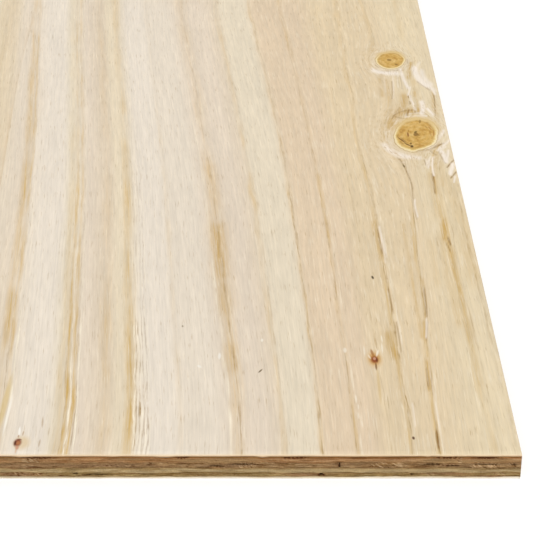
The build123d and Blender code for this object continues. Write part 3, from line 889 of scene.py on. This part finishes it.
# Streaks and lines of the clear part, broken up along the grain. A ramp holds 32 stops at most, so each
# carries one stretch of the leaf. The lines on the left are fullest 35 to 90 mm behind the front end, and
# all of them grow faint from 300 mm behind it.
left_end = 376
lines = line_ramp(tree, across, 260, 300)
for start, end in ((300, 350), (350, left_end), (left_end, 450), (450, 520), (520, 550), (550, 615)):
    if start == left_end:
        soon = add_node(tree, "MapRange", {0: along_grain, 2: 220 * MM})
        soon = add_node(tree, "ValToRGB", {0: soon}, stops=[
            (0.0, [0.85, 0.35, 0.6, 1.0]), (0.16, "#ffffff"), (0.42, "#ffffff"),
            (1.0, [0.75, 0.3, 0.35, 1.0])])
        lines = add_node(tree, "Mix", {0: 1.0, 6: lines, 7: soon}, 2, data_type="RGBA",
                         blend_type="MULTIPLY")
    lines = add_node(tree, "Mix", {0: 1.0, 6: lines, 7: line_ramp(tree, across, start, end)}, 2,
                     data_type="RGBA", blend_type="ADD")
later = add_node(tree, "MapRange", {0: along_grain, 1: 300 * MM, 2: 1100 * MM})
later = add_node(tree, "ValToRGB", {0: later}, stops=[
    (0.0, "#ffffff"), (0.3, [0.7, 0.45, 0.5, 1.0]), (0.7, [0.6, 0.3, 0.3, 1.0]), (1.0, "#000000")])
lines = add_node(tree, "Mix", {0: 1.0, 6: lines, 7: later}, 2, data_type="RGBA", blend_type="MULTIPLY")

# Each kind of line, and after it the marks of that kind. Fibre tears them all but the smooth white marks.
fibre = wood_figure(tree, grain, 1.2, 60, 9, 4.0, 0.6)
torn = add_node(tree, "MapRange", {0: fibre, 1: 0.35, 2: 0.65, 3: 0.5, 4: 1.25})
smooth = "#f6e9d8"
for number, (line_tint, mark_tint, least, most, length, faintest, full) in enumerate([
        ("#cda963", "#c39c50", 0.25, 1.1, 90, 0.0, 1.0), ("#957029", "#8a6426", 0.0, 1.3, 26, 0.08, 0.7),
        ("#f9edd5", smooth, 0.2, 1.25, 24, 0.12, 0.88)]):
    broken = wood_figure(tree, grain, 14, length, 50, 2.0 + number, spread=(0.36, 0.62, least, most))
    line = add_node(tree, "SeparateColor", {0: lines}, number)
    line = add_node(tree, "Math", {0: line, 1: broken}, operation="MULTIPLY")
    line = add_node(tree, "Math", {0: line, 1: torn}, operation="MULTIPLY")
    colour = add_node(tree, "Mix", {0: line, 6: colour, 7: line_tint}, 2, data_type="RGBA")
    mark = add_node(tree, "SeparateXYZ", {0: marks}, number)
    where = None if mark_tint == smooth else torn
    colour = tinted(tree, colour, mark_tint, mark, faintest, full, where=where)

# Fine fibre: pale threads, short brown ticks and soft bands. The real fibres, a few hundredths of a
# millimetre thick, are too fine to show, so these are bundles 1 to 6 mm wide.
thread = wood_figure(tree, grain, 1.0, 28, 9, 4.0, 0.6)
colour = tinted(tree, colour, "#f3e6cf", thread, 0.54, 0.72, 0.6)
tick = wood_figure(tree, grain, 0.9, 18, 9, 3.0)
colour = tinted(tree, colour, "#ad8e58", tick, 0.6, 0.74, 0.45)
for pattern, least, most in ((fibre, 0.925, 1.05), (wood_figure(tree, grain, 6, 160, 30, 3.0), 0.95, 1.035),
                             (wood_figure(tree, grain, 2.4, 24, 9, 3.0), 0.95, 1.04)):
    colour = shaded(tree, colour, pattern, 0.3, 0.7, least, most)

# A painted highlight along the arris, and the leaf's sawn edge in painted light, brighter and warmer than
# its face, and smeared brown at its glue line
# Painted highlight: the face lightened within 1.9 mm of its front end
colour = tinted(tree, colour, "#f7e0bc", along_grain, 1.9 * MM, 0.6 * MM, 0.5)
height, on_edge = (add_node(tree, "SeparateXYZ", {0: edge}, number) for number in (0, 2))
# Painted light in the upper stops, lighter than the face; brown smear in the lowest ones
edge_smear_and_light = add_node(tree, "ValToRGB", {0: height}, stops=[
    (0.0, "#7c5930"), (0.26, "#a47c4e"), (0.55, "#ecca9f"), (1.0, "#f2d6ae")])
colour = tinted(tree, colour, edge_smear_and_light, on_edge, 0.0, 1.0, 0.8)

# Curly grain round the knots, in pale and golden flecks, then the knots, and the small marks one by one
beside = add_node(tree, "MapRange", {0: add_node(tree, "SeparateXYZ", {0: knot}, 2), 1: 3.0, 2: 1.3})
curly = wood_figure(tree, grain, 1.7, 9, 50, 4.0, 0.65)
colour = tinted(tree, colour, "#f5e9d8", curly, 0.53, 0.66, 0.4, beside)
colour = tinted(tree, colour, "#bd9a5e", curly, 0.46, 0.32, 0.7, beside)
colour = knot_wood(tree, colour, knot, place)
for mark_x, mark_v, wide, long, turn, tint, most in marks_of_leaf:
    middle, size = (mark_x, mark_v - half_length, face_top), (wide, long, any_height)
    colour = tinted(tree, colour, tint, distance_from(tree, place, middle, size, turn), 1.25, 0.6, most)
bare_wood(tree, colour, fibre, 0.06, 0.72)
face_veneer.data.materials.append(material)
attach(face_veneer, "root")
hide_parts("face_veneer")

# Floor, lamp and camera. A plain white studio floor under one broad lamp, seen from above the front end:
# the camera looks straight along the sheet, a little left of its right-hand side.
floor_half, floor_drop, near_floor = 60000.0, 0.3, 1.0


def background_rays(tree):
    """1 for a ray that shows what lies behind the sheet: the camera's own, and those off gloss or through
    glass. 0 for a ray that only carries light to the wood.
    """
    seen = add_node(tree, "LightPath", output="Is Camera Ray")
    for kind in ("Is Glossy Ray", "Is Transmission Ray"):
        ray = add_node(tree, "LightPath", output=kind)
        seen = add_node(tree, "Math", {0: seen, 1: ray}, operation="MAXIMUM")
    return seen


floor_mesh = bpy.data.meshes.new("floor")
floor_mesh.from_pydata([(x * floor_half * MM, y * floor_half * MM, -floor_drop * MM)
                        for x, y in ((-1, -1), (1, -1), (1, 1), (-1, 1))], [], [(0, 1, 2, 3)])
floor = bpy.data.objects.new("floor", floor_mesh)
bpy.context.scene.collection.objects.link(floor)
material, tree = new_material("white_studio_floor")
matte = add_node(tree, "BsdfDiffuse", {"Color": "#e6e6e6"})
glow = add_node(tree, "Math", {0: background_rays(tree), 1: 0.3}, operation="MULTIPLY")
lift = add_node(tree, "Emission", {"Color": "#ffffff", "Strength": glow})
lit = add_node(tree, "AddShader", {0: matte, 1: lift})
# From below, and from anything nearer than near_floor, such as the sheet's underside, the floor is clear
from_below = add_node(tree, "NewGeometry", output="Backfacing")
ray_length = add_node(tree, "LightPath", output="Ray Length")
from_underside = add_node(tree, "Math", {0: ray_length, 1: near_floor * MM}, operation="LESS_THAN")
clear = add_node(tree, "Math", {0: from_below, 1: from_underside}, operation="MAXIMUM")
shown = add_node(tree, "MixShader", {0: clear, 1: lit, 2: add_node(tree, "BsdfTransparent")})
add_node(tree, "OutputMaterial", {"Surface": shown})
floor.data.materials.append(material)

studio = bpy.data.worlds.new("studio")
bpy.context.scene.world = studio
studio.use_nodes = True
tree = studio.node_tree
tree.nodes.clear()
sky = add_node(tree, "Background", {"Color": "#ffffff", "Strength": 0.56})
backdrop = add_node(tree, "Background", {"Color": "#ffffff", "Strength": 1.0})
shown = add_node(tree, "MixShader", {0: background_rays(tree), 1: sky, 2: backdrop})
add_node(tree, "OutputWorld", {"Surface": shown})

# The broad lamp, and a fainter one under the floor, which lets it through to the underside alone, for the
# views from below. Each is its strength, its tilt and its turn. All angles are in degrees.
lamp_breadth = 45
for name, energy, tilt, turn in (("softbox", 1.75, 36, 25), ("underside_lamp", 1.0, 150, 20)):
    light = bpy.data.lights.new(name, "SUN")
    light.energy, light.angle = energy, np.radians(lamp_breadth)
    lamp = bpy.data.objects.new(name, light)
    lamp.rotation_euler = (np.radians(tilt), 0.0, np.radians(turn))
    bpy.context.scene.collection.objects.link(lamp)

camera_height, camera_back, camera_left, look_down = 613.0, 916.0, 159.4, 27.7
focal_pixels, picture_pixels, sensor = 1734.0, 540.0, 36.0
lens = bpy.data.cameras.new("camera")
lens.sensor_width = sensor
lens.lens = focal_pixels / picture_pixels * sensor
camera = bpy.data.objects.new("camera", lens)
camera.location = ((half_width - camera_left) * MM, -(half_length + camera_back) * MM,
                   (face_top + camera_height) * MM)
camera.rotation_euler = (np.radians(90 - look_down), 0.0, 0.0)
bpy.context.scene.collection.objects.link(camera)
bpy.context.scene.camera = camera
bpy.context.scene.view_settings.view_transform = "Standard"
